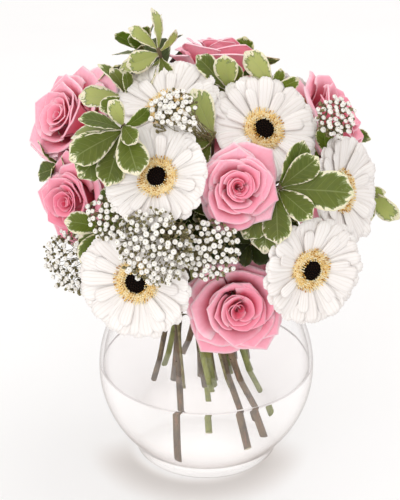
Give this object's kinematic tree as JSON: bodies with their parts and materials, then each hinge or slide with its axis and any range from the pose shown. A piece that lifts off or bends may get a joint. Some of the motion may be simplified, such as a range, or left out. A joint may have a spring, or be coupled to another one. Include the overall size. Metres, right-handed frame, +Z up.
{
  "type": "floral table centerpiece",
  "caption": "Round bouquet of roses, gerberas, gypsophila and variegated pittosporum, standing in water in a clear glass bubble bowl with a flat base.",
  "frame": {"origin": "middle of the bowl's flat base, on the table", "axes": "+Z up through the bowl's middle, -Y the front as in the picture, +X to the right of it"},
  "size_m": [0.3202, 0.3133, 0.4189],
  "materials": {
    "glass": "clear, smooth and polished",
    "water": "clear water with a flat surface",
    "rose_petal": "soft matt petal, paler at the rims",
    "gerbera_ray": "soft matt warm white, finely grooved lengthwise",
    "floret_gold": "matt, close florets",
    "eye": "matt, near black",
    "gerbera_stem": "smooth green stem",
    "rose_stem": "dull woody brown stem",
    "pittosporum": "leathery leaf with a cream margin",
    "gypsophila": "matt white florets on olive threads"
  },
  "bodies": {
    "root": {"gerbera_1_rays": "gerbera_ray", "gerbera_1_ring": "floret_gold", "gerbera_1_eye": "eye", "gerbera_1_stem": "gerbera_stem", "gerbera_2_rays": "gerbera_ray", "gerbera_2_ring": "floret_gold", "gerbera_2_eye": "eye", "gerbera_2_stem": "gerbera_stem", "gerbera_3_rays": "gerbera_ray", "gerbera_3_ring": "floret_gold", "gerbera_3_eye": "eye", "gerbera_3_stem": "gerbera_stem", "gerbera_4_rays": "gerbera_ray", "gerbera_4_ring": "floret_gold", "gerbera_4_eye": "eye", "gerbera_4_stem": "gerbera_stem", "gerbera_5_rays": "gerbera_ray", "gerbera_5_ring": "floret_gold", "gerbera_5_eye": "eye", "gerbera_5_stem": "gerbera_stem", "gerbera_6_rays": "gerbera_ray", "gerbera_6_ring": "floret_gold", "gerbera_6_eye": "eye", "gerbera_6_stem": "gerbera_stem", "gerbera_7_rays": "gerbera_ray", "gerbera_7_ring": "floret_gold", "gerbera_7_eye": "eye", "gerbera_7_stem": "gerbera_stem", "gerbera_8_rays": "gerbera_ray", "gerbera_8_ring": "floret_gold", "gerbera_8_eye": "eye", "gerbera_8_stem": "gerbera_stem", "rose_1_bloom": "rose_petal", "rose_1_stem": "rose_stem", "rose_2_bloom": "rose_petal", "rose_2_stem": "rose_stem", "rose_3_bloom": "rose_petal", "rose_3_stem": "rose_stem", "rose_4_bloom": "rose_petal", "rose_4_stem": "rose_stem", "rose_5_bloom": "rose_petal", "rose_5_stem": "rose_stem", "rose_6_bloom": "rose_petal", "rose_6_stem": "rose_stem", "rose_7_bloom": "rose_petal", "rose_7_stem": "rose_stem", "rose_8_bloom": "rose_petal", "rose_8_stem": "rose_stem", "gypsophila_1": "gypsophila", "gypsophila_2": "gypsophila", "gypsophila_3": "gypsophila", "gypsophila_4": "gypsophila", "pittosporum_1": "pittosporum", "pittosporum_2": "pittosporum", "pittosporum_3": "pittosporum", "pittosporum_4": "pittosporum", "pittosporum_5": "pittosporum", "pittosporum_6": "pittosporum", "water": "water", "bowl": "glass"}
  },
  "joints": []
}
